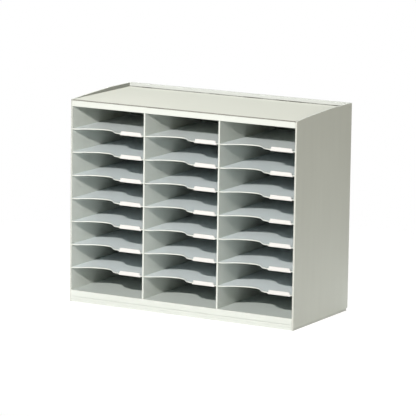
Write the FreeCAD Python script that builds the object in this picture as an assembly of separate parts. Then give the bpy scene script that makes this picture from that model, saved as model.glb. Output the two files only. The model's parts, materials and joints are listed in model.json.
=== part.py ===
"""Pigeonhole mail sorter: a moulded plastic carcass of three columns by eight rows.

The front faces -Y, +X is to the right and +Z is up.  The origin lies on the floor, midway across
the width and the depth.  All sizes are in millimetres.
"""
import FreeCAD, Part
import math
import os

# Overall sizes
WIDTH = 674.0                  # over the two side panels
DEPTH = 308.0                  # front edges of the side panels to their rear edges
COLUMN_NAMES = ("left", "middle", "right")
ROWS = 8                       # compartments in each column
CLEAR_HEIGHT = 59.3            # free height of one compartment

# Walls
SIDE_THICKNESS = 4.5
DIVIDER_THICKNESS = 4.5
SHELF_THICKNESS = 2.8
FLOOR_THICKNESS = 3.0          # floor plate of the bottom panel
SHEET_THICKNESS = 3.0          # sheet that closes the top
BACK_THICKNESS = 3.0
RAIL_WALL = 3.0                # walls of the two top rails
EDGE_ROUND = 0.8               # rounding of the edges that a hand meets
CORNER_ROUND = 2.2             # rounding of the four outer upright corners

# Top
FASCIA_HEIGHT = 15.5           # front face of the front top rail, up to the top sheet
LEDGE_THICKNESS = 3.0          # ledges of the rails, which carry the top sheet
LEDGE_DEPTH = 12.0
SHEET_GAP = 1.0                # open joint at the sides and the rear of the top sheet
SHEET_SETBACK = 0.3            # front edge of the top sheet behind the fascia
RIM_HEIGHT = 10.0              # upstand along the rear, above the top sheet
RIM_DEPTH = 14.0
SIDE_RIM_CORNER = 0.5          # front corner of a side panel below the top sheet
SIDE_RIM_LEAD = 55.0           # from the front corner to the foot of the long slope
SIDE_RIM_START = 3.5           # upstand at the foot of the long slope
SIDE_RIM_LENGTH = 195.0        # from the front corner to where the rim is level

# Base
BAND_HEIGHT = 16.5             # front band of the bottom panel
BAND_THICKNESS = 3.0
PLINTH_HEIGHT = 14.5
PLINTH_THICKNESS = 6.0
PLINTH_SETBACK = 1.0           # plinth face behind the band face
PLINTH_STEP = 0.8              # lower half of the plinth face behind its upper half
PLINTH_STEP_HEIGHT = 7.2
SHADOW_GROOVE_HEIGHT = 0.5     # recess under the band
SHADOW_GROOVE_DEPTH = 1.4
BEARER_THICKNESS = 3.0         # ribs that carry the floor plate under the dividers
NOTCH_DEPTH = 9.0              # step at the lower rear corner of a side panel
NOTCH_HEIGHT = 6.5

# Grooves and tongues
GROOVE_DEPTH = 1.5
TONGUE = 1.2                   # how far a shelf, the floor plate and the back enter a groove
SLIDE_CLEARANCE = 0.3          # above and below a sliding shelf
FLOOR_HOUSING = 1.0            # dividers stand this deep in the floor plate
SHELF_END_GAP = 1.5            # between a closed shelf and the back panel

# Back
BACK_RECESS = 3.0              # back panel inside the rear edges of the side panels
BACK_EDGE_GAP = 1.5            # above the upper edge of the back panel, inside the rim

# Thumb cut-out in the front edge of a shelf
CUT_START = 4.5                # from the left wall of the column to the start of the curve
CUT_DEEPEST = 85.5             # from the left wall to the deepest point
CUT_END = 145.5                # from the left wall to the end of the curve
CUT_DEPTH = 33.5
CUT_START_BLEND = 19.0         # radii that lead from the front edge into the curve
CUT_END_BLEND = 34.0
SHELF_EDGE_ROUND = 0.5

# Label holder clipped on the front edge of a shelf
HOLDER_LENGTH = 66.2           # along its lower edge
HOLDER_SLANT = 3.3             # each end leans inwards this far between its lower and upper edges
HOLDER_END = 5.3               # from the right wall of the column
HOLDER_FRONT = 1.5             # thickness of the face in front of the shelf edge
HOLDER_RISE = 6.1              # face above the top of the shelf
HOLDER_DROP = 1.6              # face below the underside of the shelf
HOLDER_WALL = 1.0              # arms that grip the shelf
UPPER_ARM = 9.0
LOWER_ARM = 6.0
CARD_SLOT = 0.4                # depth of the pocket for the card, which slides in from above
CARD_BACKING = 0.6             # wall behind the card
POCKET_WALL = 0.8              # below the pocket and at its ends
LOWER_LIP = 2.6                # height of the lip in front of the card
END_LIP = 1.3                  # width of the lips in front of the ends of the card

# Screws of the back panel
SCREWS_PER_DIVIDER = 4
SCREW_EDGE = 40.0              # from the ends of a divider to the outer screws
SCREW_RADIUS = 1.25
SCREW_LENGTH = 14.0
SCREW_TIP = 2.5
HEAD_RADIUS = 3.0
HEAD_HEIGHT = 1.6
HEAD_ROUND = 0.7
CROSS_WIDTH = 0.8
CROSS_LENGTH = 3.2
CROSS_DEPTH = 0.8
PILOT_CLEARANCE = 0.05
HOLE_CLEARANCE = 0.4

# Places worked out from the sizes
COLUMNS = len(COLUMN_NAMES)
FRONT = -DEPTH / 2
REAR = DEPTH / 2
INNER = WIDTH / 2 - SIDE_THICKNESS
COLUMN_WIDTH = (2 * INNER - (COLUMNS - 1) * DIVIDER_THICKNESS) / COLUMNS
PITCH = CLEAR_HEIGHT + SHELF_THICKNESS
FLOOR_TOP = PLINTH_HEIGHT + BAND_HEIGHT
FLOOR_UNDERSIDE = FLOOR_TOP - FLOOR_THICKNESS
CEILING = FLOOR_TOP + ROWS * PITCH - SHELF_THICKNESS
SHEET_UNDERSIDE = CEILING + FASCIA_HEIGHT
SHEET_TOP = SHEET_UNDERSIDE + SHEET_THICKNESS
RIM_TOP = SHEET_TOP + RIM_HEIGHT
LEDGE_UNDERSIDE = SHEET_UNDERSIDE - LEDGE_THICKNESS
FASCIA_REAR = FRONT + RAIL_WALL
RIM_FRONT = REAR - RIM_DEPTH
BACK_REAR = REAR - BACK_RECESS
BACK_FRONT = BACK_REAR - BACK_THICKNESS
BACK_TOP = RIM_TOP - RAIL_WALL - BACK_EDGE_GAP
BAND_REAR = FRONT + BAND_THICKNESS
PLINTH_FRONT = FRONT + PLINTH_SETBACK
PLINTH_REAR = PLINTH_FRONT + PLINTH_THICKNESS
REAR_PLINTH_REAR = REAR - NOTCH_DEPTH
REAR_PLINTH_FRONT = REAR_PLINTH_REAR - PLINTH_THICKNESS
REAR_BAND_FRONT = (REAR_PLINTH_FRONT + REAR_PLINTH_REAR) / 2
SHELF_FRONT = FRONT + HOLDER_FRONT
SHELF_REAR = BACK_FRONT - SHELF_END_GAP


def column_left(column):
    """X of the left wall of a column."""
    return -INNER + column * (COLUMN_WIDTH + DIVIDER_THICKNESS)


def shelf_underside(level):
    """Z of the underside of a shelf; level 1 is the highest shelf."""
    return FLOOR_TOP + (ROWS - level) * PITCH - SHELF_THICKNESS


def divider_middle(index):
    """X of the middle plane of a divider."""
    return column_left(index + 1) - DIVIDER_THICKNESS / 2


def block(x, y, z):
    """Box from three pairs of limits."""
    corner = FreeCAD.Vector(x[0], y[0], z[0])
    return Part.makeBox(x[1] - x[0], y[1] - y[0], z[1] - z[0], corner)


def bar(x, outline):
    """Solid between two X places with a closed outline of (y, z) points."""
    points = [FreeCAD.Vector(x[0], y, z) for y, z in outline]
    face = Part.Face(Part.makePolygon(points + points[:1]))
    return face.extrude(FreeCAD.Vector(x[1] - x[0], 0, 0))


def rounded(shape, radius, chosen):
    """Round the edges whose bounding box the function chosen accepts."""
    edges = [edge for edge in shape.Edges if chosen(edge.BoundBox)]
    return shape.makeFillet(radius, edges)


def near(value, place):
    return abs(value - place) < 1e-4


def union(pieces):
    """One clean solid from pieces that overlap or share faces."""
    return pieces[0].multiFuse(pieces[1:]).removeSplitter()


def mirrored(shape):
    return shape.mirror(FreeCAD.Vector(0, 0, 0), FreeCAD.Vector(1, 0, 0))


def shelf_groove(x, level):
    """Cutter for the groove of one shelf, open at the front."""
    low = shelf_underside(level) - SLIDE_CLEARANCE
    high = low + SHELF_THICKNESS + 2 * SLIDE_CLEARANCE
    return block(x, (FRONT - 1, BACK_FRONT), (low, high))


def side_panel():
    """Right side panel with its sloping rim, rear notch, shelf grooves and housings."""
    outline = [
        (FRONT, 0),
        (REAR - NOTCH_DEPTH, 0),
        (REAR - NOTCH_DEPTH, NOTCH_HEIGHT),
        (REAR, NOTCH_HEIGHT),
        (REAR, RIM_TOP),
        (FRONT + SIDE_RIM_LENGTH, RIM_TOP),
        (FRONT + SIDE_RIM_LEAD, SHEET_TOP + SIDE_RIM_START),
        (FRONT, SHEET_TOP - SIDE_RIM_CORNER),
    ]
    panel = bar((INNER, WIDTH / 2), outline)

    def outer_upright(bounds):
        on_front_or_rear = near(bounds.YMax, FRONT) or near(bounds.YMin, REAR)
        return on_front_or_rear and near(bounds.XMin, WIDTH / 2)

    def inner_upright_or_rim(bounds):
        along_x = near(bounds.YLength, 0) and near(bounds.ZLength, 0)
        on_front_or_rear = near(bounds.YMax, FRONT) or near(bounds.YMin, REAR)
        on_rim = bounds.ZMin > CEILING
        return not along_x and (on_rim or on_front_or_rear and near(bounds.XMax, INNER))

    panel = rounded(panel, CORNER_ROUND, outer_upright)
    panel = rounded(panel, EDGE_ROUND, inner_upright_or_rim)
    inside = (INNER - 1, INNER + GROOVE_DEPTH)
    cutters = [shelf_groove(inside, level) for level in range(1, ROWS)]
    cutters.append(block(inside, (BAND_REAR, BACK_FRONT), (FLOOR_UNDERSIDE, FLOOR_TOP)))
    cutters.append(block(inside, (BACK_FRONT, BACK_REAR), (PLINTH_HEIGHT, BACK_TOP)))
    ledge_levels = (LEDGE_UNDERSIDE, SHEET_UNDERSIDE)
    cutters.append(block(inside, (FASCIA_REAR, FASCIA_REAR + LEDGE_DEPTH), ledge_levels))
    cutters.append(block(inside, (RIM_FRONT - LEDGE_DEPTH, RIM_FRONT), ledge_levels))
    return panel.cut(cutters)


def divider(index):
    """Upright wall between two columns, grooved on both faces."""
    outline = [
        (FRONT, FLOOR_TOP),
        (BAND_REAR, FLOOR_TOP),
        (BAND_REAR, FLOOR_TOP - FLOOR_HOUSING),
        (BACK_FRONT, FLOOR_TOP - FLOOR_HOUSING),
        (BACK_FRONT, LEDGE_UNDERSIDE),
        (RIM_FRONT - LEDGE_DEPTH, LEDGE_UNDERSIDE),
        (RIM_FRONT - LEDGE_DEPTH, SHEET_UNDERSIDE),
        (FASCIA_REAR + LEDGE_DEPTH, SHEET_UNDERSIDE),
        (FASCIA_REAR + LEDGE_DEPTH, LEDGE_UNDERSIDE),
        (FASCIA_REAR, LEDGE_UNDERSIDE),
        (FASCIA_REAR, CEILING),
        (FRONT, CEILING),
    ]
    middle = divider_middle(index)
    left = middle - DIVIDER_THICKNESS / 2
    right = middle + DIVIDER_THICKNESS / 2
    wall = bar((left, right), outline)
    wall = rounded(wall, EDGE_ROUND, lambda b: near(b.YMax, FRONT) and b.ZLength > CLEAR_HEIGHT)
    cutters = []
    for level in range(1, ROWS):
        cutters.append(shelf_groove((left - 1, left + GROOVE_DEPTH), level))
        cutters.append(shelf_groove((right - GROOVE_DEPTH, right + 1), level))
    for height in screw_heights():
        cutters.append(screw_hole(middle, height, SCREW_RADIUS + PILOT_CLEARANCE, BACK_FRONT))
    return wall.cut(cutters)


def bottom_panel():
    """Floor plate with its front band, rear band and bearers."""
    inner = (-INNER, INNER)
    band = block(inner, (FRONT, BAND_REAR), (PLINTH_HEIGHT, FLOOR_TOP))
    band = rounded(band, EDGE_ROUND, lambda b: near(b.YMax, FRONT) and b.XLength > COLUMN_WIDTH)
    tongued = (-INNER - TONGUE, INNER + TONGUE)
    pieces = [
        band,
        block(tongued, (BAND_REAR, BACK_FRONT), (FLOOR_UNDERSIDE, FLOOR_TOP)),
        block(inner, (REAR_BAND_FRONT, BACK_FRONT), (PLINTH_HEIGHT, FLOOR_UNDERSIDE)),
    ]
    for index in range(COLUMNS - 1):
        middle = divider_middle(index)
        x = (middle - BEARER_THICKNESS / 2, middle + BEARER_THICKNESS / 2)
        pieces.append(block(x, (PLINTH_REAR, REAR_PLINTH_FRONT), (0, FLOOR_UNDERSIDE)))
    panel = union(pieces)
    housings = []
    for index in range(COLUMNS - 1):
        middle = divider_middle(index)
        x = (middle - DIVIDER_THICKNESS / 2, middle + DIVIDER_THICKNESS / 2)
        housings.append(block(x, (BAND_REAR, BACK_FRONT), (FLOOR_TOP - FLOOR_HOUSING, FLOOR_TOP + 1)))
    return panel.cut(housings)


def front_plinth():
    """Lower front rail with a shadow groove above and a stepped face."""
    groove_rear = PLINTH_FRONT + SHADOW_GROOVE_DEPTH
    groove_low = PLINTH_HEIGHT - SHADOW_GROOVE_HEIGHT
    step_front = PLINTH_FRONT + PLINTH_STEP
    outline = [
        (step_front, 0),
        (PLINTH_REAR, 0),
        (PLINTH_REAR, PLINTH_HEIGHT),
        (groove_rear, PLINTH_HEIGHT),
        (groove_rear, groove_low),
        (PLINTH_FRONT, groove_low),
        (PLINTH_FRONT, PLINTH_STEP_HEIGHT),
        (step_front, PLINTH_STEP_HEIGHT - PLINTH_STEP),
    ]
    return bar((-INNER, INNER), outline)


def rear_plinth():
    depth = (REAR_PLINTH_FRONT, REAR_PLINTH_REAR)
    return block((-INNER, INNER), depth, (0, PLINTH_HEIGHT))


def front_top_rail():
    """Fascia with the ledge behind it that carries the top sheet."""
    fascia = block((-INNER, INNER), (FRONT, FASCIA_REAR), (CEILING, SHEET_UNDERSIDE))
    fascia = rounded(fascia, EDGE_ROUND, lambda b: near(b.YMax, FRONT) and b.XLength > COLUMN_WIDTH)
    tongued = (-INNER - TONGUE, INNER + TONGUE)
    levels = (LEDGE_UNDERSIDE, SHEET_UNDERSIDE)
    ledge = block(tongued, (FASCIA_REAR, FASCIA_REAR + LEDGE_DEPTH), levels)
    return union([fascia, ledge])


def rear_top_rail():
    """Raised rear rim, open below, with a ledge in front for the top sheet."""
    inner = (-INNER, INNER)
    rim = block(inner, (RIM_FRONT, REAR), (CEILING, RIM_TOP))
    rim = rounded(rim, EDGE_ROUND, lambda b: near(b.ZMin, RIM_TOP) and b.XLength > COLUMN_WIDTH)
    hollow = (RIM_FRONT + RAIL_WALL, BACK_REAR)
    below_front_wall = (RIM_FRONT - 1, BACK_REAR)
    rim = rim.cut([
        block((-WIDTH, WIDTH), hollow, (CEILING - 1, RIM_TOP - RAIL_WALL)),
        block((-WIDTH, WIDTH), below_front_wall, (CEILING - 1, LEDGE_UNDERSIDE)),
    ])
    tongued = (-INNER - TONGUE, INNER + TONGUE)
    levels = (LEDGE_UNDERSIDE, SHEET_UNDERSIDE)
    ledge = block(tongued, (RIM_FRONT - LEDGE_DEPTH, RIM_FRONT), levels)
    return union([rim, ledge])


def top_sheet():
    x = (-INNER + SHEET_GAP / 2, INNER - SHEET_GAP / 2)
    y = (FRONT + SHEET_SETBACK, RIM_FRONT - SHEET_GAP)
    return block(x, y, (SHEET_UNDERSIDE, SHEET_TOP))


def back_panel():
    """Flat back in the grooves of the side panels, screwed to the dividers."""
    x = (-INNER - TONGUE, INNER + TONGUE)
    panel = block(x, (BACK_FRONT, BACK_REAR), (PLINTH_HEIGHT, BACK_TOP))
    holes = []
    for index in range(COLUMNS - 1):
        for height in screw_heights():
            radius = SCREW_RADIUS + HOLE_CLEARANCE
            holes.append(screw_hole(divider_middle(index), height, radius, BACK_REAR))
    return panel.cut(holes)


def screw_heights():
    """Heights of the screws along a divider, evenly spaced."""
    low = FLOOR_TOP + SCREW_EDGE
    high = CEILING - SCREW_EDGE
    step = (high - low) / (SCREWS_PER_DIVIDER - 1)
    return [low + step * number for number in range(SCREWS_PER_DIVIDER)]


def screw_hole(x, z, radius, rear):
    """Cutter for a hole that runs forward from a rear face."""
    tip = BACK_REAR - SCREW_LENGTH
    start = FreeCAD.Vector(x, rear + 1, z)
    return Part.makeCylinder(radius, rear + 1 - tip, start, FreeCAD.Vector(0, -1, 0))


def screw(x, z):
    """Pan-head screw with a cross recess, driven forward from behind."""
    forward = FreeCAD.Vector(0, -1, 0)
    seat = FreeCAD.Vector(x, BACK_REAR, z)
    head = Part.makeCylinder(HEAD_RADIUS, HEAD_HEIGHT, seat, FreeCAD.Vector(0, 1, 0))
    head = rounded(head, HEAD_ROUND, lambda b: near(b.YMin, BACK_REAR + HEAD_HEIGHT))
    shank_length = SCREW_LENGTH - SCREW_TIP
    shank = Part.makeCylinder(SCREW_RADIUS, shank_length, seat, forward)
    tip_start = FreeCAD.Vector(x, BACK_REAR - shank_length, z)
    tip = Part.makeCone(SCREW_RADIUS, SCREW_RADIUS / 4, SCREW_TIP, tip_start, forward)
    whole = union([head, shank, tip])
    depth = (BACK_REAR + HEAD_HEIGHT - CROSS_DEPTH, BACK_REAR + HEAD_HEIGHT + 1)
    narrow = CROSS_WIDTH / 2
    wide = CROSS_LENGTH / 2
    return whole.cut([
        block((x - narrow, x + narrow), depth, (z - wide, z + wide)),
        block((x - wide, x + wide), depth, (z - narrow, z + narrow)),
    ])


def back_panel_screws():
    places = [(divider_middle(i), z) for i in range(COLUMNS - 1) for z in screw_heights()]
    return Part.makeCompound([screw(x, z) for x, z in places])


def on_circle(centre, radius, angle):
    x = centre[0] + radius * math.cos(angle)
    y = centre[1] + radius * math.sin(angle)
    return (x, y)


def cut_flank(deepest, end, blend):
    """One side of the thumb cut-out: an arc level at the deepest point and a blend.

    The blend is tangent to the front edge and to the arc, which gives the radius of the arc.
    Returns the centre and radius of the arc, the centre of the blend and the angle where they join.
    """
    reach = abs(end - deepest)
    radius = (reach ** 2 + CUT_DEPTH ** 2) / (2 * CUT_DEPTH) - blend
    centre = (deepest, SHELF_FRONT + CUT_DEPTH - radius)
    blend_centre = (end, SHELF_FRONT + blend)
    turn = math.atan2(blend_centre[1] - centre[1], reach)
    return centre, radius, blend_centre, turn


def shelf(column, level):
    """Sliding shelf with the thumb cut-out in its front edge."""
    left = column_left(column)
    right = left + COLUMN_WIDTH
    z = shelf_underside(level)
    deepest = left + CUT_DEEPEST
    start_cut = left + CUT_START
    end_cut = left + CUT_END
    rise_centre, rise_radius, rise_blend, rise_turn = cut_flank(deepest, start_cut, CUT_START_BLEND)
    fall_centre, fall_radius, fall_blend, fall_turn = cut_flank(deepest, end_cut, CUT_END_BLEND)

    def vector(point):
        return FreeCAD.Vector(point[0], point[1], z)

    def arc(centre, radius, start, end):
        angles = (start, (start + end) / 2, end)
        return Part.Arc(*[vector(on_circle(centre, radius, a)) for a in angles]).toShape()

    def line(a, b):
        return Part.LineSegment(vector(a), vector(b)).toShape()

    corner_left = (left - TONGUE, SHELF_FRONT)
    corner_right = (right + TONGUE, SHELF_FRONT)
    rear_right = (right + TONGUE, SHELF_REAR)
    rear_left = (left - TONGUE, SHELF_REAR)
    half_turn = math.pi
    quarter = math.pi / 2
    edges = [
        line(corner_left, (start_cut, SHELF_FRONT)),
        arc(rise_blend, CUT_START_BLEND, -quarter, -rise_turn),
        arc(rise_centre, rise_radius, half_turn - rise_turn, quarter),
        arc(fall_centre, fall_radius, quarter, fall_turn),
        arc(fall_blend, CUT_END_BLEND, half_turn + fall_turn, half_turn + quarter),
        line((end_cut, SHELF_FRONT), corner_right),
        line(corner_right, rear_right),
        line(rear_right, rear_left),
        line(rear_left, corner_left),
    ]
    plate = Part.Face(Part.Wire(edges)).extrude(FreeCAD.Vector(0, 0, SHELF_THICKNESS))

    def front_edge(bounds):
        return bounds.YMax < SHELF_FRONT + CUT_DEPTH + 1 and bounds.ZLength < 1e-4

    return rounded(plate, SHELF_EDGE_ROUND, front_edge)


def label_holder(column, level):
    """Clip over the shelf edge, with slanted ends and an open-topped pocket for a card."""
    right = column_left(column) + COLUMN_WIDTH - HOLDER_END
    left = right - HOLDER_LENGTH
    under = shelf_underside(level)
    over = under + SHELF_THICKNESS
    low = under - HOLDER_DROP
    high = over + HOLDER_RISE
    face = SHELF_FRONT - HOLDER_FRONT
    backing = SHELF_FRONT - CARD_BACKING
    lip_rear = backing - CARD_SLOT
    lean = HOLDER_SLANT / (high - low)

    def slanted(inset, z, y):
        """Plate between two Y places whose ends run parallel to the ends of the clip."""
        below = inset + (z[0] - low) * lean
        above = inset + (z[1] - low) * lean
        corners = [
            FreeCAD.Vector(left + below, y[0], z[0]),
            FreeCAD.Vector(right - below, y[0], z[0]),
            FreeCAD.Vector(right - above, y[0], z[1]),
            FreeCAD.Vector(left + above, y[0], z[1]),
        ]
        outline = Part.Face(Part.makePolygon(corners + corners[:1]))
        return outline.extrude(FreeCAD.Vector(0, y[1] - y[0], 0))

    plate = slanted(0, (low, high), (face, SHELF_FRONT))
    pocket = slanted(POCKET_WALL, (low + POCKET_WALL, high + 1), (lip_rear, backing))
    window = slanted(END_LIP, (low + LOWER_LIP, high + 1), (face - 1, backing))
    plate = plate.cut([pocket, window])
    arms = (left + HOLDER_SLANT, right - HOLDER_SLANT)
    upper = block(arms, (SHELF_FRONT, SHELF_FRONT + UPPER_ARM), (over, over + HOLDER_WALL))
    lower = block(arms, (SHELF_FRONT, SHELF_FRONT + LOWER_ARM), (under - HOLDER_WALL, under))
    return union([plate, upper, lower])


def all_nodes():
    right_side = side_panel()
    nodes = {
        "left_side_panel": mirrored(right_side),
        "right_side_panel": right_side,
        "top_sheet": top_sheet(),
        "front_top_rail": front_top_rail(),
        "rear_top_rail": rear_top_rail(),
        "bottom_panel": bottom_panel(),
        "front_plinth": front_plinth(),
        "rear_plinth": rear_plinth(),
        "back_panel": back_panel(),
        "back_panel_screws": back_panel_screws(),
    }
    for index, name in enumerate(("left", "right")):
        nodes["divider_%s" % name] = divider(index)
    for column, name in enumerate(COLUMN_NAMES):
        for level in range(1, ROWS):
            nodes["shelf_%s_%d" % (name, level)] = shelf(column, level)
            nodes["label_holder_%s_%d" % (name, level)] = label_holder(column, level)
    return nodes


os.makedirs("parts", exist_ok=True)
for node, shape in all_nodes().items():
    shape.exportStep("parts/%s.step" % node)
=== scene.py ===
"""Looks of the pigeonhole mail sorter: plastics, label cards, floor, lamps and camera."""
import json
import math
import random

import bmesh
import bpy
from mathutils import Matrix, Vector


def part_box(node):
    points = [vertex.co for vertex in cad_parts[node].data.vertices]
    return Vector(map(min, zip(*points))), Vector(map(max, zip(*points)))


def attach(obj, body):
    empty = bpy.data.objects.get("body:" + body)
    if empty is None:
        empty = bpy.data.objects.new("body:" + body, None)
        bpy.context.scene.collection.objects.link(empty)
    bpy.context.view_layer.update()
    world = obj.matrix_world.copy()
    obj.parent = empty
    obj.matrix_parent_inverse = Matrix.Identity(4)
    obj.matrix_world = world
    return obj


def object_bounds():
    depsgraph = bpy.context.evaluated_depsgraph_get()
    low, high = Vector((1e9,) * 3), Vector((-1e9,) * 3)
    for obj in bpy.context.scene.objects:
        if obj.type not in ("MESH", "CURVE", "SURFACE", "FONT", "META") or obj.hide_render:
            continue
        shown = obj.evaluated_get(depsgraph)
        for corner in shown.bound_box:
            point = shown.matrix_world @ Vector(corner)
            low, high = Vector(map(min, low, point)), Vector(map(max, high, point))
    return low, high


# Camera, with its angles in degrees
CAMERA_PLACE = Vector((4.0951, -7.2798, 1.7829))
CAMERA_TURN = 29.387           # from +Y towards -X
CAMERA_DIP = 10.315            # below the horizontal
CAMERA_ROLL = 0.826            # anticlockwise as seen from behind the camera
LENS = 278.25                  # mm on a sensor 36 mm wide

WHITE = (1.0, 1.0, 1.0)

# Lamps, in metres and watts, with the share of red, green and blue
KEY_PLACE = Vector((0.38, -2.74, 1.68))
KEY_AIM = Vector((-1.9, 0.2, 0.0))      # left of the sorter, which evens out its front
KEY_SIZE = 0.09
KEY_POWER = 125.0
KEY_TINT = (1.0, 0.965, 0.94)
TOP_PLACE = Vector((-0.9, 1.1, 4.0))
TOP_SIZE = 1.6
TOP_POWER = 111.0
TOP_TINT = WHITE
SIDE_PLACE = Vector((2.5, 0.0, 1.0))
SIDE_SIZE = 0.8
SIDE_POWER = 17.5
SIDE_TINT = (1.0, 0.925, 0.79)
EDGE_PLACE = Vector((2.8, -0.8, 0.6))
EDGE_SIZE = 0.8
EDGE_POWER = 8.0
EDGE_TINT = WHITE
BACK_PLACE = Vector((-2.2, 2.4, 0.35))  # lights the back and the left side alone
BACK_SIZE = 1.2
BACK_POWER = 45.0
BACK_TINT = (1.0, 0.97, 0.92)
WORLD_STRENGTH = 0.01

# Floor
FLOOR_RADIUS = 1.5
FLOOR_SEGMENTS = 96
FLOOR_CLEAR = 1.3              # radius at which the floor has faded away
FLOOR_FADE = 3.0               # power of the distance by which it fades
FLOOR_GLOW = 0.75              # share of white that the camera sees in any case
FLOOR_TONE = 0.35              # grey of the lit floor that it sees on top of that
FLOOR_BOUNCE = (0.72, 0.74, 0.77)       # colour of the floor for all other light

# Colours as seen in even light, sRGB from 0 to 255; the side rim, edge line and grime colours also
# carry painted shade
CARCASS_COLOUR = (211, 216, 209)
RIM_COLOUR = (192, 196, 193)
SIDE_RIM_SHADE_COLOUR = (134, 137, 131)
EDGE_LINE_COLOUR = (150, 151, 143)
SIDE_FRONT_COLOUR = (197, 200, 192)
FLOOR_PLATE_COLOUR = (188, 195, 191)
SHEET_COLOUR = (206, 209, 199)
BACK_COLOUR = (165, 171, 168)
SHELF_COLOUR = (215, 223, 224)
SHELF_EDGE_COLOUR = (211, 215, 207)
HOLDER_COLOUR = (217, 218, 214)
CARD_COLOUR = (219, 219, 215)
STEEL_COLOUR = (196, 196, 192)
# Dark colour of dirt and of painted shade in the joints and at the feet
GRIME_AND_SHADE_COLOUR = (70, 68, 62)

# Reach of faces, edges, the floor plate's tone, dirt and painted shade, in metres
FACE_REACH = 0.0004            # to either side of the plane of a face
STEP_REACH = 0.0005            # over which a step from 0 to 1 is spread
RIM_FOOT_DEPTH = 0.0006        # of the dirt and painted shade at the foot of the rear rim
RIM_FOOT_HEIGHT = 0.0025
FLOOR_PLATE_INSET = 0.003             # from the front of the floor plate to the darker, cooler tone on its top
FOOT_HEIGHT = 0.008            # of the painted shade at the foot of the side panels
END_LINE_REACH = 0.0016        # of the dark line of painted shade at the ends of the sheet's front edge
FRONT_DIRT_AND_SHADE_REACH = 0.0012      # of dirt and painted shade from the front edge of the top sheet
OTHER_DIRT_AND_SHADE_REACH = 0.003       # of dirt and painted shade from its other edges

# Strength of dirt, painted shade and dark lines; above 1 they are full for part of their reach
FRONT_EDGE_LINE = 2.0
RIM_FOOT_DIRT_AND_SHADE = 1.8
FOOT_SHADE = 0.3
FRONT_DIRT_AND_SHADE = 0.4
OTHER_DIRT_AND_SHADE = 0.5

# Darker patches of dirt and painted shade in the joints of the top sheet: X of the middle and half
# length, in metres
FRONT_DARK_PATCHES = ((-0.197, 0.012), (-0.08, 0.03), (0.31, 0.02))
REAR_DARK_PATCHES = ((-0.277, 0.02), (0.045, 0.03), (0.175, 0.05), (0.298, 0.012))
PATCH_SIZE = 0.03              # of the patches of dirt and painted shade all along the joints
PATCH_SHARE = 0.65             # of dirt and painted shade in those patches on average
PATCH_CONTRAST = 0.4

# Label cards, in metres
CARD_THICKNESS = 0.00025
CARD_END_GAP = 0.0012          # from the ends of a card to the ends of its holder
CARD_LOW_GAP = 0.0009          # from the lower edge of the holder to the card
CARD_HIGH_GAP = 0.0003         # from the card to the upper edge of the holder
HOLDER_SLANT = 0.0033          # each end of a holder leans inwards this far
CARD_FRONT_GAP = 0.00056       # from the face of the holder to the face of a card
CARD_CORNER = 0.0008
CARD_SLIP = 0.0005             # cards sit this far off centre at most
CARD_SEED = 7

# Outputs of a node that separates a vector, and sockets of one that mixes colours
X, Y, Z = 0, 1, 2
MIX_SHARE, MIX_FIRST, MIX_SECOND = 0, 6, 7
MIX_RESULT = 2

NOISE_ROUGHNESS = 0.55         # strength of each layer of a noise against the coarser one

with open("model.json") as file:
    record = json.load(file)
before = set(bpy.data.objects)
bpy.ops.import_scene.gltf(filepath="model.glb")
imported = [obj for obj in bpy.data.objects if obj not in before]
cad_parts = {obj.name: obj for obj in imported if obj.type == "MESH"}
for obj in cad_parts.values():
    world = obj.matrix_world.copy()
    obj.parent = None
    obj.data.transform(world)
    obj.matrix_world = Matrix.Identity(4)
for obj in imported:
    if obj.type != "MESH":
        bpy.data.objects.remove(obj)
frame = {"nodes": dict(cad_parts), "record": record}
cad_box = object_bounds()

# Places on the sorter that its finishes follow, in metres
SHEET_GAP = 0.001              # open joint round the top sheet
SHEET_LOW, SHEET_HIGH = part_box("top_sheet")
RIM_FRONT = SHEET_HIGH.y + SHEET_GAP
SIDE_RIM = -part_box("left_side_panel")[1].x
FLOOR_LOW, FLOOR_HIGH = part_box("bottom_panel")


def linear(colour):
    """Linear red, green and blue of a colour given in sRGB from 0 to 255."""
    shares = [channel / 255 for channel in colour]
    return tuple(s / 12.92 if s <= 0.04045 else ((s + 0.055) / 1.055) ** 2.4 for s in shares)


class Value:
    """An output of a node. Arithmetic on it adds Math nodes."""

    def __init__(self, nodes, socket):
        self.nodes = nodes
        self.socket = socket

    def maths(self, operation, *terms, clamp=False):
        """A Math node on the terms, which may be values or numbers."""
        settings = {"operation": operation, "use_clamp": clamp}
        return self.nodes.node("ShaderNodeMath", settings, dict(enumerate(terms)))

    def __add__(self, other):
        return self.maths("ADD", self, other)

    __radd__ = __add__

    def __mul__(self, other):
        return self.maths("MULTIPLY", self, other)

    __rmul__ = __mul__

    def __sub__(self, other):
        return self.maths("SUBTRACT", self, other)

    def __rsub__(self, other):
        return self.maths("SUBTRACT", other, self)

    def __truediv__(self, other):
        return self.maths("DIVIDE", self, other)

    def __rtruediv__(self, other):
        return self.maths("DIVIDE", other, self)

    def size(self):
        """The same value without its sign."""
        return self.maths("ABSOLUTE", self)

    def limited(self):
        """The same value, held between 0 and 1."""
        return self.maths("ADD", self, 0.0, clamp=True)

    def near(self, place, width):
        """1 where the value is at the place, falling to 0 at the given width from it."""
        return (1.0 - (self - place).size() / width).limited()

    def past(self, place):
        """0 up to the place, and 1 from half a millimetre past it on."""
        return ((self - place) / STEP_REACH).limited()


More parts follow.
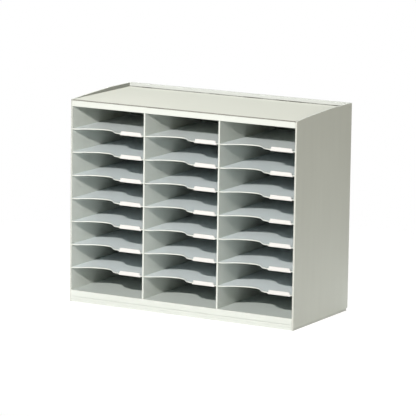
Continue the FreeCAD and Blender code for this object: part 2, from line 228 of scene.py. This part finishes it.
class Nodes:
    """The node tree of a material or of the world."""

    def __init__(self, owner):
        owner.use_nodes = True
        self.tree = owner.node_tree

    def node(self, kind, settings=None, values=None, output=0):
        """A node of that type with its settings, then its socket values or links."""
        node = self.tree.nodes.new(kind)
        for name, setting in (settings or {}).items():
            setattr(node, name, setting)
        for name, value in (values or {}).items():
            self.feed(node.inputs[name], value)
        return Value(self, node.outputs[output])

    def feed(self, socket, value):
        """Link a value to a socket, or set a plain number or colour on it."""
        if isinstance(value, Value):
            self.tree.links.new(value.socket, socket)
        elif socket.type == "RGBA":
            socket.default_value = (*value, 1.0)
        else:
            socket.default_value = value

    def show(self, output, surface):
        """Use a shader as the surface of the named output node."""
        self.feed(self.tree.nodes[output].inputs["Surface"], surface)


class Finish(Nodes):
    """A material of the sorter, with its nodes."""

    def __init__(self, name, roughness, gloss=0.5):
        self.material = bpy.data.materials.new(name)
        super().__init__(self.material)
        self.surface = self.tree.nodes["Principled BSDF"]
        self.surface.inputs["Specular IOR Level"].default_value = gloss
        self.roughness = roughness
        self.spot = self.node("ShaderNodeTexCoord", output="Object")

    def set(self, name, value):
        self.feed(self.surface.inputs[name], value)

    def roughen(self, variation):
        """Let the roughness vary about that of the finish."""
        self.set("Roughness", variation + self.roughness)

    def place(self, axis):
        """X, Y or Z of the surface point in metres."""
        return self.node("ShaderNodeSeparateXYZ", values={0: self.spot}, output=axis)

    def facing(self, axis):
        """X, Y or Z of the outward direction of the surface."""
        normal = self.node("ShaderNodeNewGeometry", output="Normal")
        return self.node("ShaderNodeSeparateXYZ", values={0: normal}, output=axis)

    def noise(self, size, detail=2.0, stretch=(1, 1, 1)):
        """Cloudy variation about 0, from -1 to 1, with features of that size in metres."""
        scaled = self.node(
            "ShaderNodeVectorMath",
            {"operation": "MULTIPLY"},
            {0: self.spot, 1: tuple(1 / (size * s) for s in stretch)},
        )
        cloud = self.node(
            "ShaderNodeTexNoise",
            values={"Vector": scaled, "Scale": 1.0, "Detail": detail, "Roughness": NOISE_ROUGHNESS},
        )
        return (cloud - 0.5) * 2.0

    def front(self):
        """1 where the surface faces the front, 0 where it faces another side."""
        return (self.facing(Y) * -1.0).limited()

    def dark_patches(self, places):
        """Patchy share of dirt and painted shade along X, heaviest at the listed places."""
        patches = self.noise(PATCH_SIZE, detail=3.0) * PATCH_CONTRAST + PATCH_SHARE
        for place, reach in places:
            patches = patches + self.place(X).near(place, reach)
        return patches.limited()

    def blend(self, share, first, second):
        """Mix of two colours; share 1 gives the second."""
        values = {MIX_SHARE: share, MIX_FIRST: first, MIX_SECOND: second}
        return self.node("ShaderNodeMix", {"data_type": "RGBA"}, values, MIX_RESULT)

    def tinted(self, colour, share):
        """A colour made lighter or darker by a share about 0."""
        return self.node(
            "ShaderNodeVectorMath",
            {"operation": "SCALE"},
            {0: colour, "Scale": share + 1.0},
        )

    def bump(self, height, depth, strength):
        """Relief of the surface, with its depth in metres."""
        normal = self.node(
            "ShaderNodeBump",
            values={"Height": height, "Distance": depth, "Strength": strength},
        )
        self.set("Normal", normal)


def carcass_plastic():
    """Pale moulded plastic with a fine satin grain, darker rims, painted shade on the inner faces
    of the side rims and at the foot of the side panels, dirt and painted shade at the foot of the
    rear rim, a darker floor plate and a painted dark line along the front joint of the top sheet.
    """
    finish = Finish("carcass_plastic", roughness=0.5, gloss=0.3)
    cloud = finish.noise(size=0.15, detail=3.0)
    streaks = finish.noise(size=0.02, stretch=(1, 1, 8))
    grain = finish.noise(size=0.0016)
    side = finish.facing(X).size()
    shade = cloud * 0.015 + streaks * (side * 0.02 + 0.008) + grain * 0.02
    colour = finish.tinted(linear(CARCASS_COLOUR), shade)

    side_front = finish.front() * finish.place(X).size().past(SIDE_RIM)
    colour = finish.blend(side_front, colour, linear(SIDE_FRONT_COLOUR))

    over_sheet = finish.place(Z).past(SHEET_HIGH.z)
    rim_face = finish.front() * over_sheet * finish.place(Y).near(RIM_FRONT, FACE_REACH)
    colour = finish.blend(rim_face, colour, linear(RIM_COLOUR))
    # Painted shade: the inner faces of the side rims above the sheet are darkened
    side_rim_shade = side * over_sheet * finish.place(X).size().near(SIDE_RIM, FACE_REACH)
    colour = finish.blend(side_rim_shade, colour, linear(SIDE_RIM_SHADE_COLOUR))

    # The top of the floor plate, behind its front edge, gets a darker and cooler tone
    floor_plate_tone = finish.facing(Z).limited() * finish.place(Z).near(FLOOR_HIGH.z, FACE_REACH)
    floor_plate_tone = floor_plate_tone * finish.place(Y).past(FLOOR_LOW.y + FLOOR_PLATE_INSET)
    colour = finish.blend(floor_plate_tone * (cloud * 0.1 + 0.9), colour, linear(FLOOR_PLATE_COLOUR))

    # Dirt and painted shade in the crease at the foot of the rear rim, in patches
    rim_foot = finish.place(Y).near(RIM_FRONT, RIM_FOOT_DEPTH)
    rim_foot = rim_foot * finish.place(Z).near(SHEET_HIGH.z, RIM_FOOT_HEIGHT)
    rim_foot = (rim_foot * RIM_FOOT_DIRT_AND_SHADE).limited() * finish.dark_patches(REAR_DARK_PATCHES)
    colour = finish.blend(rim_foot, colour, linear(GRIME_AND_SHADE_COLOUR))
    # Painted shade at the foot of the side panels, where they meet the floor
    foot_shade = side * finish.place(Z).near(0.0, FOOT_HEIGHT) * FOOT_SHADE
    colour = finish.blend(foot_shade * (cloud * 0.5 + 1.0), colour, linear(GRIME_AND_SHADE_COLOUR))

    # Painted shade: the dark line of the top sheet's front joint runs on over the front of the side
    # panels
    end_line = finish.place(Y).near(FLOOR_LOW.y, END_LINE_REACH) * finish.place(Z).past(SHEET_LOW.z)
    colour = finish.blend(end_line, colour, linear(EDGE_LINE_COLOUR))

    finish.set("Base Color", colour)
    finish.roughen(cloud * 0.05 + floor_plate_tone * 0.2)
    finish.bump(grain, depth=0.00004, strength=0.5)
    return finish.material


def sheet_plastic():
    """Smooth sheet with faint rub marks, a front edge darkened with painted shade, and dirt and
    painted shade along its joints.
    """
    finish = Finish("sheet_plastic", roughness=0.55, gloss=0.15)
    cloud = finish.noise(size=0.2, detail=3.0)
    rubs = finish.noise(size=0.03, detail=4.0, stretch=(4, 0.6, 1))
    colour = finish.tinted(linear(SHEET_COLOUR), cloud * 0.01 + rubs * 0.006)

    # Painted shade of the front joint: the front face of the sheet is darkened
    front_edge = finish.front() * finish.place(Y).near(SHEET_LOW.y, FACE_REACH)
    front_edge = (front_edge * FRONT_EDGE_LINE).limited()
    colour = finish.blend(front_edge, colour, linear(EDGE_LINE_COLOUR))

    # Dirt and painted shade on the sheet along its front joint, in patches
    front_dirt_and_shade = finish.place(Y).near(SHEET_LOW.y, FRONT_DIRT_AND_SHADE_REACH)
    front_dirt_and_shade = front_dirt_and_shade * finish.dark_patches(FRONT_DARK_PATCHES) * FRONT_DIRT_AND_SHADE
    colour = finish.blend(front_dirt_and_shade, colour, linear(GRIME_AND_SHADE_COLOUR))
    # Dirt and painted shade on the sheet along its joints with the rims, in patches
    rear_dirt_and_shade = finish.place(Y).near(SHEET_HIGH.y, OTHER_DIRT_AND_SHADE_REACH)
    end_dirt_and_shade = finish.place(X).size().near(SHEET_HIGH.x, OTHER_DIRT_AND_SHADE_REACH)
    other_dirt_and_shade = (rear_dirt_and_shade + end_dirt_and_shade).limited() * finish.dark_patches(REAR_DARK_PATCHES) * OTHER_DIRT_AND_SHADE
    colour = finish.blend(other_dirt_and_shade, colour, linear(GRIME_AND_SHADE_COLOUR))

    finish.set("Base Color", colour)
    finish.roughen(rubs * 0.06)
    finish.bump(finish.noise(size=0.0009, detail=1.0), depth=0.00002, strength=0.4)
    return finish.material


def back_plastic():
    """Matt sheet with upright extrusion lines."""
    finish = Finish("back_plastic", roughness=0.55, gloss=0.3)
    cloud = finish.noise(size=0.18, detail=3.0)
    lines = finish.noise(size=0.004, stretch=(1, 1, 200))
    finish.set("Base Color", finish.tinted(linear(BACK_COLOUR), cloud * 0.015 + lines * 0.008))
    finish.roughen(cloud * 0.06)
    finish.bump(lines, depth=0.00005, strength=0.5)
    return finish.material


def shelf_plastic():
    """Cool pale plastic, rubbed along its depth by sheets of paper."""
    finish = Finish("shelf_plastic", roughness=0.48)
    cloud = finish.noise(size=0.12, detail=3.0)
    rubs = finish.noise(size=0.003, detail=3.0, stretch=(1, 30, 1))
    colour = finish.tinted(linear(SHELF_COLOUR), cloud * 0.012 + rubs * 0.01)
    colour = finish.blend(finish.front(), colour, linear(SHELF_EDGE_COLOUR))
    finish.set("Base Color", colour)
    finish.roughen(rubs * 0.05)
    finish.bump(finish.noise(size=0.0007, detail=1.0), depth=0.00003, strength=0.5)
    return finish.material


def holder_plastic():
    """White glossy clip."""
    finish = Finish("holder_plastic", roughness=0.3)
    cloud = finish.noise(size=0.02)
    finish.set("Base Color", finish.tinted(linear(HOLDER_COLOUR), cloud * 0.01))
    finish.roughen(cloud * 0.05)
    finish.bump(finish.noise(size=0.004), depth=0.00004, strength=0.3)
    return finish.material


def card_paper():
    """White card with short fibres."""
    finish = Finish("card_paper", roughness=0.8)
    fibres = finish.noise(size=0.0006, detail=3.0, stretch=(4, 1, 1))
    finish.set("Base Color", finish.tinted(linear(CARD_COLOUR), fibres * 0.02))
    finish.roughen(fibres * 0.05)
    finish.bump(fibres, depth=0.00003, strength=0.5)
    return finish.material


def screw_steel():
    """Zinc-plated steel."""
    finish = Finish("screw_steel", roughness=0.36)
    finish.set("Metallic", 1.0)
    cloud = finish.noise(size=0.0015, detail=3.0)
    finish.set("Base Color", finish.tinted(linear(STEEL_COLOUR), cloud * 0.08))
    finish.roughen(cloud * 0.1)
    return finish.material


def dress_nodes():
    """Give every CAD node the finish of its material slot."""
    finishes = {
        "carcass_plastic": carcass_plastic(),
        "sheet_plastic": sheet_plastic(),
        "back_plastic": back_plastic(),
        "shelf_plastic": shelf_plastic(),
        "holder_plastic": holder_plastic(),
        "screw_steel": screw_steel(),
    }
    for subpart in frame["record"]["subparts"]:
        mesh = frame["nodes"][subpart["node"]].data
        mesh.materials.clear()
        mesh.materials.append(finishes[subpart["material_slot"]])


def label_card(holder, paper, slip):
    """Card with clipped corners in the pocket of a label holder."""
    low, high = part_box(holder)
    lean = HOLDER_SLANT / (high.z - low.z)
    bottom = CARD_LOW_GAP
    top = high.z - low.z - CARD_HIGH_GAP
    cut = CARD_CORNER

    def half(z):
        """Half the length of the card at a height above the lower edge of the holder."""
        return (high.x - low.x) / 2 - CARD_END_GAP - lean * z

    outline = [(half(bottom) - cut, bottom), (half(bottom + cut), bottom + cut)]
    outline += [(half(top - cut), top - cut), (half(top) - cut, top)]
    outline += [(-x, z) for x, z in reversed(outline)]
    mesh = bmesh.new()
    face = mesh.faces.new([mesh.verts.new((x, 0, z)) for x, z in outline])
    front = bmesh.ops.extrude_face_region(mesh, geom=[face])
    front_points = [part for part in front["geom"] if isinstance(part, bmesh.types.BMVert)]
    bmesh.ops.translate(mesh, verts=front_points, vec=(0, -CARD_THICKNESS, 0))
    bmesh.ops.recalc_face_normals(mesh, faces=mesh.faces)
    rear = low.y + CARD_FRONT_GAP + CARD_THICKNESS
    bmesh.ops.translate(mesh, verts=mesh.verts, vec=((low.x + high.x) / 2 + slip, rear, low.z))
    data = bpy.data.meshes.new(holder.replace("label_holder", "label_card"))
    mesh.to_mesh(data)
    mesh.free()
    data.materials.append(paper)
    card = bpy.data.objects.new(data.name, data)
    bpy.context.scene.collection.objects.link(card)
    return card


def label_cards():
    """A card in every label holder, which moves with the holder's shelf."""
    paper = card_paper()
    draw = random.Random(CARD_SEED)
    for body, nodes in frame["record"]["behaviour"]["bodies"].items():
        for holder in nodes:
            if holder.startswith("label_holder"):
                card = label_card(holder, paper, draw.uniform(-CARD_SLIP, CARD_SLIP))
                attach(card, body)


def floor():
    """Pale floor that takes the shadow and fades into the background."""
    data = bpy.data.meshes.new("floor")
    mesh = bmesh.new()
    bmesh.ops.create_circle(mesh, cap_ends=True, radius=FLOOR_RADIUS, segments=FLOOR_SEGMENTS)
    mesh.to_mesh(data)
    mesh.free()
    ground = bpy.data.objects.new("floor", data)
    bpy.context.scene.collection.objects.link(ground)
    material = bpy.data.materials.new("floor_white")
    paint = Nodes(material)
    seen = paint.node("ShaderNodeLightPath", output="Is Camera Ray")
    bounce = paint.node("ShaderNodeBsdfDiffuse", values={"Color": FLOOR_BOUNCE})
    lit = paint.node("ShaderNodeBsdfDiffuse", values={"Color": (FLOOR_TONE,) * 3})
    glow = paint.node("ShaderNodeEmission", values={"Color": WHITE, "Strength": FLOOR_GLOW})
    both = paint.node("ShaderNodeAddShader", values={0: lit, 1: glow})
    plain = paint.node("ShaderNodeMixShader", values={0: seen, 1: bounce, 2: both})
    spot = paint.node("ShaderNodeTexCoord", output="Object")
    distance = paint.node("ShaderNodeVectorMath", {"operation": "LENGTH"}, {0: spot}, "Value")
    reach = distance / FLOOR_CLEAR
    away = reach.maths("POWER", reach, FLOOR_FADE, clamp=True)
    clear = paint.node("ShaderNodeBsdfTransparent")
    faded = paint.node("ShaderNodeMixShader", values={0: away, 1: plain, 2: clear})
    paint.show("Material Output", faded)
    data.materials.append(material)


def backdrop():
    """World: a weak even light, and plain white where the camera sees it."""
    world = bpy.data.worlds.new("studio")
    bpy.context.scene.world = world
    sky = Nodes(world)
    seen = sky.node("ShaderNodeLightPath", output="Is Camera Ray")
    strength = seen * (1.0 - WORLD_STRENGTH) + WORLD_STRENGTH
    white = sky.node("ShaderNodeBackground", values={"Color": WHITE, "Strength": strength})
    sky.show("World Output", white)


def lamp(name, place, aim, size, power, tint):
    """Round area lamp that points from its place at its aim."""
    data = bpy.data.lights.new(name, "AREA")
    data.shape = "DISK"
    data.size = size
    data.energy = power
    data.color = tint
    light = bpy.data.objects.new(name, data)
    light.location = place
    light.rotation_euler = (aim - place).to_track_quat("-Z", "Y").to_euler()
    bpy.context.scene.collection.objects.link(light)


def lamps():
    """Five round lamps; all but the key point at the middle of the sorter."""
    middle = (cad_box[0] + cad_box[1]) / 2
    lamp("key", KEY_PLACE, KEY_AIM, KEY_SIZE, KEY_POWER, KEY_TINT)
    lamp("top", TOP_PLACE, middle, TOP_SIZE, TOP_POWER, TOP_TINT)
    lamp("side", SIDE_PLACE, middle, SIDE_SIZE, SIDE_POWER, SIDE_TINT)
    lamp("edge", EDGE_PLACE, middle, EDGE_SIZE, EDGE_POWER, EDGE_TINT)
    lamp("back", BACK_PLACE, middle, BACK_SIZE, BACK_POWER, BACK_TINT)


def camera():
    """Long-lens view from the front right, a little above the sorter."""
    data = bpy.data.cameras.new("camera")
    data.lens = LENS
    view = bpy.data.objects.new("camera", data)
    turn = Matrix.Rotation(math.radians(CAMERA_TURN), 4, "Z")
    dip = Matrix.Rotation(math.radians(90 - CAMERA_DIP), 4, "X")
    roll = Matrix.Rotation(math.radians(CAMERA_ROLL), 4, "Z")
    view.matrix_world = Matrix.Translation(CAMERA_PLACE) @ turn @ dip @ roll
    bpy.context.scene.collection.objects.link(view)
    bpy.context.scene.camera = view


bpy.context.scene.view_settings.view_transform = "Standard"
camera()
lamps()
backdrop()
floor()
dress_nodes()
label_cards()
